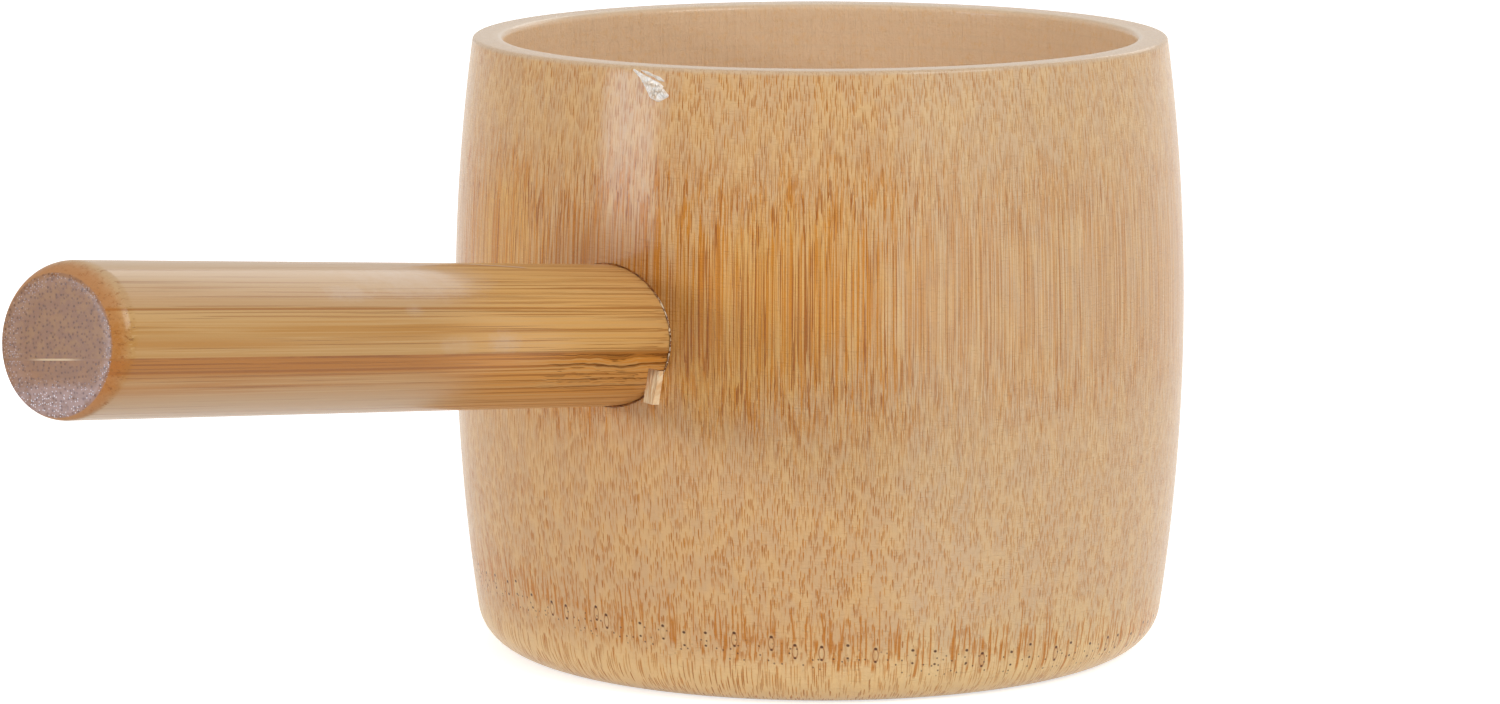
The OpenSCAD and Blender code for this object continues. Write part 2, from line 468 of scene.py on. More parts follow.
@dataclass(frozen=True)
class CulmFinish:
    """Turned culm wall: bundles of dark fibres run up the culm and the turned side cuts through them.

    A bundle is a column whose cross section is a spot in the plane of X and Y. Where the side is
    parallel to it, it shows as a long streak; where the side slopes, as a short dash; on a
    cross cut, as a dot. The pattern needs no seam.
    """

    pale: Colour = (229, 195, 144)
    grey: Colour = (220, 188, 145)
    # The foot's own paler tone, raised further as painted light that offsets the floor's shade.
    foot: Colour = (250, 216, 156)
    amber: Colour = (230, 174, 84)
    streak: Colour = (208, 131, 22)
    deep: Colour = (164, 92, 16)
    dark: Colour = (80, 40, 12)
    mark: Colour = (196, 122, 32)
    inside: Colour = (236, 204, 167)
    rim: Colour = (214, 188, 158)
    # Painted highlight: a pale line on the rim's inner rounding, where the lamps would shine.
    edge: Colour = (246, 232, 212)
    edge_r: Span = (46.85, 47.45)
    edge_z: Span = (89.3, 90.0)
    rim_z: Span = (89.7, 90.3)
    floor_z: Span = (6.0, 7.0)
    foot_z: Span = (10.0, 3.0)
    above_foot_z: Span = (8.0, 16.0)
    wall_skin: float = 5.4
    wall_inner: float = 6.6
    stain_and_shade_r: Span = (20.0, 10.4)
    stain_and_shade_out: Span = (30.0, 40.0)
    stain_and_shade_up: Span = (-7.0, 0.0)
    ragged: float = 1.6
    fewer_deep: Span = (0.4, 3.2)
    thread_cut: Span = (0.51, 0.56)
    hair_cut: Span = (0.565, 0.6)
    bundle_pitch: float = 0.25
    bundle_wide: float = 0.049
    bundle_deep: float = 0.11
    peel_z: float = 58.5
    peel: float = 0.14
    peel_reach: float = 35.0
    foot_round: float = 6.6
    foot_flare: float = 0.86
    node_z: float = 9.5
    node_tilt: float = 4.3
    node_turn: float = 150.0
    mark_pitch: float = 4.2
    loop_wide: float = 0.42
    loop_high: float = 0.95
    patches: tuple = (
        Patch(-115, 66, 13, 15, 1.6),
        Patch(-75, 50, 12, 14, 1.5),
        Patch(-60, 62, 15, 20, 1.2),
    )
    warm_sides: tuple = ((-89.0, 50.0, 38.0), (70.0, 34.0, 18.0), (158.0, 26.0, 12.0))
    drift: Grain = Grain(0.06, 0.008)
    columns: Grain = Grain(1.3, 0.0, rough=0.6, shift=0.3)
    fine: Grain = Grain(3.6, 0.1, 3.0, 0.65)
    blots: Grain = Grain(0.5, 0.16)
    threads: Grain = Grain(2.7, 0.02, 3.0, 0.75)
    hair: Grain = Grain(4.0, 0.03, rough=0.7, shift=40.0)
    speckle: Grain = Grain(1.1, 0.9, 3.0, 0.7)
    bored: Grain = Grain(0.9, 0.5, 3.0, 0.7)
    lathe: Grain = Grain(0.4, 3.0, rough=0.8)
    upright: Grain = Grain(2.6, 0.4, rough=0.7)
    weave: Grain = Grain(3.2, 3.2, rough=0.7)
    marks: tuple = (
        NodeMark(0.9, 3.0, 5.2, -3.2, 0.13, 0.6),
        NodeMark(1.7, 5.0, 2.6, -4.0, 0.24, 0.55),
        NodeMark(0.62, 7.0, 7.5, -0.5, 0.09, 0.5),
    )
    joint_stain_and_shade: Colour = (152, 92, 36)
    cool: Colour = (216, 176, 142)
    grain_depth: float = 0.05 * MM
    wave_depth: float = 0.2 * MM

    def material(self, name: str, side: Barrel, axis: HandleAxis) -> bpy.types.Material:
        """Builds the material for the cup.

        Args:
            name: The material's name.
            side: The cup's side, for its radius.
            axis: The handle's frame, for the stain and painted shade round the joint.

        Returns:
            The material.
        """
        g = Graph(name)
        x, y, z = g.split(g.mapped())
        r = g.hypot(x, y)
        turn = g.math("ARCTAN2", y, x)
        belly = side.belly_r / MM

        culm_r = r + self.peeled(g, z, side)
        scale = culm_r / r
        dx, dy, dz = self.drift.drift(x, y, z)
        bx = x * scale + dx * 1.2
        by = y * scale + dy * 1.2
        layer = culm_r + dz * 0.6
        tips = layer + (self.columns.at(bx, by, z) - 0.5) * self.ragged
        near = g.step(tips, belly - 0.95, belly - 0.1)
        outer = g.step(sum((p.reach(g, turn, z) for p in self.patches), tips), belly + 0.2, belly + 1.5)
        skin_deep = g.step(belly - layer, *self.fewer_deep)
        bundle, tone = self.bundles(g, x, y, r, bx, by, skin_deep)
        fine = self.fine.at(bx, by, z)
        blots = self.blots.at(bx, by, z)
        warm = self.warmth(g, turn)
        firm = 0.42 + warm * 0.48
        threads = g.step(self.threads.at(bx, by, z), *self.thread_cut)
        hair = g.step(self.hair.at(bx, by, z), *self.hair_cut)
        colour = g.paint(
            self.grey,
            (g.step(blots, 0.42, 0.6), self.pale),
            ((1.0 - warm) * g.step(z, *self.above_foot_z) * 0.28, self.cool),
            (warm * 0.22, self.streak),
            (outer * (0.4 + blots * 0.6), self.amber),
            # Paler foot: partly its own tone, partly painted light against the shade from the floor.
            (g.step(z, *self.foot_z) * 0.7, self.foot),
            (g.step(fine, 0.48, 0.75) * 0.25, self.streak),
            (threads * near * firm, self.streak),
            (hair * near * (firm + 0.08), self.deep),
            (bundle * (0.72 + warm * 0.22), g.mix(tone * 0.7, self.streak, self.deep)),
        )

        spin = math.radians(self.node_turn)
        lean = x * math.cos(spin) - y * math.sin(spin)
        above = z - (self.node_z + lean / r * self.node_tilt)
        colour = self.node_marks(g, colour, turn, above, belly)

        # Darker ring on the cup round the handle's joint: partly lacquer pooled round the socket, partly
        # painted shade where the handle meets the cup.
        across, up, out = g.handle_mm(axis, rolled=False)
        stain_and_shade = g.step(g.hypot(across, up), *self.stain_and_shade_r)
        stain_and_shade = stain_and_shade * g.step(out, *self.stain_and_shade_out) * g.step(up, *self.stain_and_shade_up)
        within = g.step(r, belly - self.wall_skin, belly - self.wall_inner) * g.step(z, *self.floor_z)
        speckle = self.speckle.at(x, y, z)
        bored = self.bored.at(r, z, speckle)
        plain = g.paint(
            self.inside,
            (g.step(speckle, 0.45, 0.8) * 0.35, self.amber),
            (g.step(bored, 0.5, 0.68) * 0.16, self.rim),
            (g.step(bored, 0.44, 0.3) * 0.12, self.streak),
        )
        # Painted highlight along the rim's inner rounding.
        low, high = self.edge_r
        edge = g.step(r, low, low + 0.25) * g.step(r, high + 0.2, high - 0.3) * g.step(z, *self.edge_z)
        colour = g.paint(
            colour,
            # stain and painted shade round the joint
            (stain_and_shade * (0.5 + blots) * 0.42, self.joint_stain_and_shade),
            (within * 0.93, plain),
            (g.step(z, *self.rim_z) * 0.6, self.rim),
            # painted highlight on the rim's inner edge
            (edge * 0.32, self.edge),
        )

        grain = g.bump(bundle * -0.4 + fine * 0.5, self.grain_depth)
        waves = self.lathe.at(x, y, z) * (1.0 - within * 0.8) + self.upright.at(bx, by, z)
        waves = waves + self.weave.at(x, y, z) * 0.45
        return g.finished(colour, g.bump(waves, self.wave_depth, grain), Gloss.SATIN_LACQUER)

    def warmth(self, g: Graph, turn: Value) -> Value:
        """Where the culm grew darker and yellower: up its whole height, between two polar angles."""
        whole = 0.0
        for middle, far, close in self.warm_sides:
            apart = g.math("COSINE", turn - math.radians(middle))
            side = g.step(apart, math.cos(math.radians(far)), math.cos(math.radians(close)))
            whole = g.most(whole, side)
        return whole

    def peeled(self, g: Graph, z: Value, side: Barrel) -> Value:
        """What is added to the radius so that the pattern has the culm's own shape.

        The side's arc is taken away and a curve is put in its place that leaves the skin slowly
        near the belly and quickly towards rim and foot: the cube of the height over its square
        plus the square of the reach. At the rounded foot the culm goes on straight down.

        Args:
            g: The material's graph.
            z: Height, in millimetres.
            side: The cup's side.

        Returns:
            Millimetres to add to the radius.
        """
        low = g.math("MINIMUM", z - self.foot_round, 0.0)
        chord = g.math("SQRT", g.most(self.foot_round**2 - low * low, 0.0))
        flare = (self.foot_round - chord) * self.foot_flare
        from_belly = z - side.belly_z / MM
        arc_drop = from_belly * from_belly * (0.5 * MM / side.curve_r)
        from_peel = abs(z - self.peel_z)
        square = from_peel * from_peel
        drop = square * from_peel * self.peel / (square + self.peel_reach**2)
        return flare + (arc_drop - drop)

    def bundles(
        self, g: Graph, x: Value, y: Value, r: Value, bx: Value, by: Value, sunk: Value
    ) -> tuple[Value, Value]:
        """Where a fibre bundle is cut: spots of a random net, wedge-shaped and pointing inwards.

        Args:
            g: The material's graph.
            x: Across, in millimetres.
            y: Along, in millimetres.
            r: Distance from the cup's axis, in millimetres.
            bx: The bundle net's first coordinate, in millimetres.
            by: Its second.
            sunk: How deep under the culm's skin the cut is, from 0 to 1; deep down, bundles are fewer.

        Returns:
            1 on a bundle and 0 between bundles, and each bundle's own tone.
        """
        per = 1 / self.bundle_pitch
        net_x, net_y = bx * per, by * per
        _, tint, spot = g.cells(net_x, net_y, 0.9)
        spot_x, spot_y, _ = g.split(spot)
        tone, luck, lack = g.split(tint)
        off_x, off_y = net_x - spot_x, net_y - spot_y
        radial = (off_x * x + off_y * y) / r
        around = (off_y * x - off_x * y) / r
        far = radial * (self.bundle_pitch / self.bundle_deep)
        wide = (0.65 + tone * 0.7) * (self.bundle_wide * per + sunk * (0.03 * per))
        wide = wide * g.most(1.0 + far * 0.5, 0.1)
        side = around / wide
        reach = far * far + side * side
        there = g.step(lack - sunk * 0.45, -0.03, 0.03)
        return g.step(reach, 1.35, 0.65) * there * (0.55 + luck * 0.45), tone

    def node_marks(self, g: Graph, colour: Value, turn: Value, above: Value, belly: float) -> Value:
        """Adds the node's line: upright streaks of random length, and loops with a dark dot at each end.

        Args:
            g: The material's graph.
            colour: The colour so far.
            turn: Polar angle.
            above: Height above the node's line, in millimetres.
            belly: The cup's radius, in millimetres.

        Returns:
            The colour with the marks.
        """
        colour = g.paint(colour, *[(mark.mask(g, turn, above, belly), self.mark) for mark in self.marks])
        cell = turn * (round(math.tau * belly / self.mark_pitch) / math.tau)
        jitter, lift, luck = g.chances(g.math("FLOOR", cell), 1.0)
        flat = (g.math("FRACT", cell) - 0.5 - (jitter - 0.5) * 0.6) * self.mark_pitch
        tall = above - ((lift - 0.5) * 1.2 - 0.8)
        loop = g.hypot(flat * (1 / self.loop_wide), tall * (1 / self.loop_high))
        line = g.step(abs(loop - 1.0), 0.3, 0.1) * g.step(luck, 0.4, 0.55)
        colour = g.paint(colour, (g.step(loop, 2.0, 1.1) * 0.6, self.pale), (line * 0.7, self.deep))
        for level, size in ((self.loop_high, 0.25), (-self.loop_high, 0.2)):
            off = tall - level
            apart = g.math("SQRT", flat * flat + off * off * 1.6)
            colour = g.mix(g.step(apart, size + 0.08, size - 0.08) * 0.95, colour, self.dark)
        near, tint, _ = g.cells(turn * 48.0, above * 0.9)
        speck = g.step(near, 0.15, 0.09) * g.step(above, -4.2, -3.0) * g.step(above, 0.4, -1.0)
        return g.mix(speck * g.step(g.split(tint)[0], 0.5, 0.6) * 0.8, colour, self.dark)


@dataclass(frozen=True)
class Smudge:
    """A milky smudge of lacquer on the handle: its middle in the handle's frame and half its size."""

    across: float
    up: float
    out: float
    half_round: float
    half_long: float
    share: float

    def mask(self, g: Graph, place: Place, rough: Value) -> Value:
        """A bell about the middle, with an uneven edge."""
        across, up, out = place
        flat, tall = across - self.across, up - self.up
        long = (out - self.out) * (1 / self.half_long)
        power = (flat * flat + tall * tall) * self.half_round**-2 + long * long
        return g.step(power + rough * 3.4, 1.7, -0.6) * self.share


@dataclass(frozen=True)
class PlyFinish:
    """Turned ply: fibres run along the handle, so the side shows fine lines and the end shows dots."""

    pale: Colour = (194, 148, 86)
    warm: Colour = (186, 132, 60)
    streak: Colour = (150, 88, 24)
    light: Colour = (208, 168, 112)
    band: Colour = (178, 112, 36)
    # Painted sheen on the handle's top and underside.
    painted_sheen: Colour = (198, 165, 126)
    golden: Colour = (224, 172, 102)
    orange: Colour = (220, 148, 64)
    end: Colour = (146, 100, 62)
    dots: Colour = (92, 52, 30)
    haze: Colour = (206, 184, 166)
    # On the ply's end: painted sheen, a grey reflection of a lamp.
    sealed_end_and_sheen: Colour = (178, 154, 156)
    ring: Colour = (176, 104, 36)
    painted_glint: Colour = (240, 234, 240)
    pitch: float = 0.7
    spot_r: float = 0.14
    streak_share: float = 0.75
    line_high: float = 3.8
    band_low: float = -4.15
    smudges: tuple = (
        Smudge(9.9, -0.9, 92.5, 1.5, 3.8, 0.34),
        Smudge(9.8, -1.1, 103.0, 1.2, 4.0, 0.2),
        Smudge(8.2, 5.8, 124.6, 1.5, 5.4, 0.3),
        Smudge(9.4, 3.5, 111.6, 0.9, 1.8, 0.25),
        Smudge(6.0, 8.0, 106.0, 3.6, 15.0, 0.3),
    )
    drift: Grain = Grain(0.08, 0.006)
    threads: Grain = Grain(1.9, 0.004, 3.0, 0.75)
    hair: Grain = Grain(2.8, 0.012, rough=0.7, shift=30.0)
    broad: Grain = Grain(0.4, 0.012)
    close: Grain = Grain(2.2, 0.01, rough=0.7, shift=70.0)
    rough: Grain = Grain(0.6, 0.3, 4.0, 0.75)
    worn: Grain = Grain(1.6, 1.6, 3.0, 0.7)
    mist: Grain = Grain(0.6, 0.0, 3.0, 0.65, 5.0)
    torn_up: float = -4.6
    torn_high: Span = (3.0, 1.4)
    torn_out: Span = (86.0, 74.0)
    torn_across: Span = (4.0, 6.0)
    by_cup: Span = (112.0, 88.0)
    band_top: Span = (-2.1, -2.6)
    painted_sheen_under: Span = (-4.8, -9.5)
    gash_across: float = 3.4
    gash_out: float = 79.0
    gash_slope: float = 0.14
    gash_up: Span = (7.0, 8.0)
    gash_starts: Span = (78.0, 80.0)
    gash_ends: Span = (97.0, 88.0)
    end_edge: float = 0.12
    ring_r: Span = (10.1, 9.8)
    ring_from: float = 1.3
    grain_depth: float = 0.08 * MM

    def material(self, name: str, axis: HandleAxis, end_out: float) -> bpy.types.Material:
        """Builds the material for a ply.

        Args:
            name: The material's name.
            axis: The handle's frame.
            end_out: How far out the handle's end lies, in millimetres.

        Returns:
            The material.
        """
        g = Graph(name)
        place = across, up, out = g.handle_mm(axis)
        torn = g.step(abs(up - self.torn_up), *self.torn_high)
        torn = torn * g.step(out, *self.torn_out) * g.step(across, *self.torn_across)
        dx, dy, _ = self.drift.drift(across, up, out)
        curl = (g.noise(g.join(up * 0.3, out * 0.13, 2.0), 2.0, 0.5) - 0.5) * torn * 1.6
        a = across + dx * 0.5
        b = up + dy * 0.5 + curl

        near, tint, _ = g.cells(a * (1 / self.pitch), b * (1 / self.pitch), 0.9)
        bundle = g.step(near * self.pitch, self.spot_r + 0.06, self.spot_r - 0.06)
        bundle = bundle * (0.4 + g.split(tint)[0] * 0.6)
        threads, hair, close = (noise.at(a, b, out) for noise in (self.threads, self.hair, self.close))
        by_cup = g.step(out, *self.by_cup)
        band = g.step(up, *self.band_top) * g.step(up, self.band_low - 0.5, self.band_low + 0.1)
        below = g.step(b, self.line_high + 0.1, self.line_high - 0.3) * g.step(b, 1.4, 3.0)
        # Painted sheen: the handle's top and its underside are paled as if the white room shone in them at
        # grazing angles; the lines fade under it.
        above = g.step(b, self.line_high, self.line_high + 0.5) * (0.55 + g.step(up, 5.0, 9.0) * 0.3)
        painted_sheen = g.most(above, g.step(up, *self.painted_sheen_under) * 0.85) * (1.0 - by_cup * 0.85)
        edge = g.step(abs(b - self.band_low), 0.22, 0.08) * 0.8
        high = g.step(abs(b - self.line_high), 0.2, 0.06) * g.step(across, 0.0, 2.0) * 0.9
        lines = g.most(g.step(threads, 0.6, 0.66), g.step(hair, 0.61, 0.66) * (0.6 + torn))
        lines = g.most(lines, g.step(close, 0.565, 0.6) * by_cup * 0.75) * (1.0 - painted_sheen * 0.55)
        lines = g.most(lines, g.most(edge, high))
        rough = self.rough.at(across, up, out) - 0.5
        colour = g.paint(
            self.pale,
            (g.step(self.broad.at(a, b, out), 0.4, 0.62), self.warm),
            (g.step(threads, 0.5, 0.64) * 0.5, self.warm),
            (g.step(hair, 0.44, 0.38) * 0.45, self.light),
            (band * 0.85, self.band),
            (below * 0.55, self.light),
            (by_cup * g.step(up, -2.6, -1.8) * 0.75, self.golden),
            (by_cup * g.step(up, -2.2, -2.6) * 0.6, self.orange),
            (painted_sheen, self.painted_sheen),
            (g.step(close, 0.46, 0.42) * by_cup * 0.4, self.light),
            (lines * self.streak_share, self.streak),
            *[(smudge.mask(g, place, rough), self.haze) for smudge in self.smudges],
            *self.gash(g, place),
        )
        colour, on_end = self.end_face(g, colour, place, bundle, end_out)
        height = bundle * (-0.2 + on_end * -1.6) + lines * (-0.6 + torn * -3.0)
        return g.finished(colour, g.bump(height, self.grain_depth), Gloss.SATIN_LACQUER)

    def gash(self, g: Graph, place: Place) -> list[tuple]:
        """Coats for the long pale scratch on the top, near the cup, and for its darker edge."""
        across, up, out = place
        off = across - (self.gash_across - (out - self.gash_out) * self.gash_slope)
        reach = g.step(up, *self.gash_up) * g.step(out, *self.gash_starts) * g.step(out, *self.gash_ends)
        return [
            (g.step(abs(off - 0.35), 0.3, 0.1) * reach * 0.6, self.streak),
            (g.step(abs(off), 0.34, 0.1) * reach * 0.8, self.haze),
        ]

    def end_face(
        self, g: Graph, colour: Value, place: Place, bundle: Value, end_out: float
    ) -> tuple[Value, Value]:
        """Adds the free end: a warm ring on its rounding, and dots on the sealed face, with painted sheen
        and painted glints towards its right and lower edge.

        Args:
            g: The material's graph.
            colour: The colour so far.
            place: The point in the handle's frame.
            bundle: Where fibre bundles are cut.
            end_out: How far out the end lies, in millimetres.

        Returns:
            The colour with the end, and 1 on the end's face.
        """
        across, up, out = place
        radius = g.hypot(across, up)
        on_end = g.step(out, end_out - self.end_edge, end_out - 0.04)
        worn = self.worn.at(across, up, out)
        ring = g.step(out + worn * 1.4, end_out - self.ring_from, end_out + 0.4)
        ring = ring * g.step(radius, *self.ring_r)
        right = g.step(radius, 6.6, 8.2) * g.step(across, 1.0, 5.0)
        # Painted sheen: the end face is greyed towards its right and lower edge, as a lamp would shine in
        # it.
        end_sheen = g.most(g.most(right * 0.7, g.step(up, -4.4, -7.2)), g.step(radius, 6.0, 8.6) * 0.35)
        mist = self.mist.at(across, up, out)
        near, tint, _ = g.cells(across * 3.2, up * 3.2)
        # Painted glints: white specks on the end face's edge.
        painted_glint = g.step(near, 0.32, 0.18) * g.step(g.split(tint)[0], 0.62, 0.72) * end_sheen
        face = g.paint(
            self.end,
            (end_sheen * g.step(mist, 0.25, 0.6) * 0.6, self.sealed_end_and_sheen),
            (g.step(mist, 0.4, 0.6) * 0.25, self.warm),
            (bundle * 0.6, self.dots),
            # painted sheen at the face's lower edge
            (g.step(up, -5.0, -6.6) * g.step(mist, 0.3, 0.6) * 0.3, self.sealed_end_and_sheen),
            (painted_glint * 0.9, self.painted_glint),
        )
        burnt = g.mix(g.step(worn, 0.55, 0.7), self.ring, self.streak)
        return g.paint(colour, (ring * 0.62, burnt), (on_end, face)), on_end


@dataclass(frozen=True)
class PlainFinish:
    """A finish of two tones with a fine grain, for glue, lacquer and the split sliver."""

    light: Colour
    deep: Colour
    gloss: Gloss
    grain: tuple[float, float, float] = (2.0, 2.0, 2.0)
    bump: float = 0.04 * MM
    pale: Colour = (206, 174, 132)
    sealed_end_and_sheen: Colour = (150, 104, 66)
    pale_from: float = 0.0
    pale_span: Span = (-4.0, 2.2)

    def material(self, name: str, axis: HandleAxis) -> bpy.types.Material:
        """Builds the material, with its grain along the handle's frame."""
        g = Graph(name)
        across, up, out = g.handle_mm(axis, rolled=False)
        grain = g.noise(g.join(*[v * s for v, s in zip((across, up, out), self.grain)]), 3.0, 0.6)
        colour = g.mix(g.step(grain, 0.35, 0.68), self.light, self.deep)
        if self.pale_from:
            low, high = self.pale_span
            span = g.step(across, low - 1.8, low + 1.8) * g.step(across, high + 1.8, high - 1.8)
            face = g.step(out, self.pale_from - 0.1, self.pale_from)
            colour = g.mix(face, colour, g.mix(span, self.sealed_end_and_sheen, self.pale))
        return g.finished(colour, g.bump(grain, self.bump), self.gloss)


@dataclass(frozen=True)
class GapGlueFinish:
    """Old glue in the gap: brown, with pale broken glints painted at the right of the handle."""

    brown: Colour = (178, 112, 50)
    dark: Colour = (104, 58, 26)
    painted_glint: Colour = (232, 208, 172)
    from_turn: float = -28.0
    to_turn: float = 36.0
    grain: Grain = Grain(2.2, 2.2, 3.0, 0.7)
    bump: float = 0.2 * MM

    def material(self, name: str, axis: HandleAxis) -> bpy.types.Material:
        """Builds the material, with its grain in the handle's frame."""
        g = Graph(name)
        across, up, out = g.handle_mm(axis, rolled=False)
        grain = self.grain.at(across, up, out)
        turn = g.math("ARCTAN2", up, across)
        starts = g.step(turn, math.radians(self.from_turn - 8), math.radians(self.from_turn + 8))
        ends = g.step(turn, math.radians(self.to_turn + 8), math.radians(self.to_turn - 8))
        colour = g.mix(g.step(grain, 0.35, 0.65), self.dark, self.brown)
        # Painted glints at the right of the handle.
        colour = g.mix(starts * ends * g.step(grain, 0.46, 0.56), colour, self.painted_glint)
        return g.finished(colour, g.bump(grain, self.bump), Gloss.SATIN_LACQUER)


def settle(piece: bpy.types.Object, node: str, finish: bpy.types.Material) -> None:
    """Gives a finished piece its material and its body, and hides the CAD node that it stands for."""
    piece.data.materials.clear()
    piece.data.materials.append(finish)
    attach(piece, "root")
    if node:
        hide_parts(node)
    LOG.info("%s: %d faces", piece.name, len(piece.data.polygons))


@dataclass
class Cup:
    """The cup: one culm section, turned outside, with its own node as the floor."""

    side: Barrel
    axis: HandleAxis
    height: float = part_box("cup")[1].z
    foot_round: float = 6.6 * MM
    foot_ring: float = 6.5 * MM
    foot_edge: float = 0.6 * MM
    hollow: float = 4 * MM
    hollow_round: float = 2 * MM
    floor: float = 5.5 * MM
    sag: float = 1.5 * MM
    floor_round: float = 8 * MM
    rim_wall: float = 4.6 * MM
    rim_out: float = 0.6 * MM
    rim_in: float = 1 * MM
    hole_r: float = 10.2 * MM
    hole_from: float = 37 * MM
    hole_to: float = 60 * MM
    hole_turns: int = 128
    turns: int = 384
    finish: CulmFinish = field(default_factory=CulmFinish)

    def profile(self) -> Row:
        """The closed outline from the middle of the underside round the rim to the middle of the floor.

        Straight and round stretches follow each other: sagging underside, foot, the side's long
        arc, the rim and its two roundings, the inner wall, the fillet and the sagging floor.
        """
        side = self.side
        rise = self.foot_round - side.belly_z
        foot_x = side.belly_r - side.curve_r + math.sqrt((side.curve_r - self.foot_round) ** 2 - rise**2)
        foot_end = math.degrees(math.atan2(rise, foot_x - side.belly_r + side.curve_r))
        hollow_r = foot_x - self.foot_ring
        flat_r = hollow_r - self.hollow_round
        cavity_r = float(side.radius(self.height)) - self.rim_wall
        bottom_r = cavity_r - self.floor_round
        floor_z = self.hollow + self.floor
        edge_z = self.height - self.rim_out
        edge_turn = math.degrees(math.asin((edge_z - side.belly_z) / side.curve_r))
        edge_r = float(side.radius(edge_z))
        out = np.linspace(0, 1, 16)
        under = np.stack([flat_r * out, self.hollow - self.sag * (1 - out**2)], axis=-1)
        above = np.stack([bottom_r * out[::-1], floor_z - self.sag * (1 - out[::-1] ** 2)], axis=-1)
        parts = [
            under,
            arc((flat_r, self.hollow - self.hollow_round), self.hollow_round, 90, 0, 8)[1:],
            arc((hollow_r + self.foot_edge, self.foot_edge), self.foot_edge, 180, 270, 5),
            along((hollow_r + self.foot_edge, 0), (foot_x, 0), 3),
            arc((foot_x, self.foot_round), self.foot_round, -90, foot_end, 14),
            arc((side.belly_r - side.curve_r, side.belly_z), side.curve_r, foot_end, edge_turn, 96)[1:],
            arc((edge_r - self.rim_out, edge_z), self.rim_out, edge_turn, 90, 5)[1:],
            along((edge_r - self.rim_out, self.height), (cavity_r + self.rim_in, self.height), 3),
            arc((cavity_r + self.rim_in, self.height - self.rim_in), self.rim_in, 90, 180, 8),
            along((cavity_r, self.height - self.rim_in), (cavity_r, floor_z + self.floor_round), 40),
            arc((bottom_r, floor_z + self.floor_round), self.floor_round, 0, -90, 12),
            above[1:],
        ]
        return np.concatenate(parts)

    def build(self) -> bpy.types.Object:
        """Turns the profile about the axis and cuts the handle's hole."""
        line = self.profile()
        turn = circle(self.turns)
        r, z = line[:, :1], line[:, 1:]
        rows = np.stack(np.broadcast_arrays(r * np.cos(turn), r * np.sin(turn), z), axis=-1)
        piece = skin("cup_shell", rows)
        self.drill(piece)
        return piece

    def drill(self, piece: bpy.types.Object) -> None:
        """Cuts the hole with a round bar along the handle's axis."""
        turn = circle(self.hole_turns)
        reach = np.array([0.0, 1.0, 1.0, 0.0])[:, None] * self.hole_r
        out = np.array([self.hole_from, self.hole_from, self.hole_to, self.hole_to])[:, None]
        carve(piece, skin("drill", self.axis.place(reach * np.cos(turn), reach * np.sin(turn), out)))

    def make(self) -> None:
        """Builds and dresses the cup."""
        settle(self.build(), "cup", self.finish.material("cup_bamboo", self.side, self.axis))


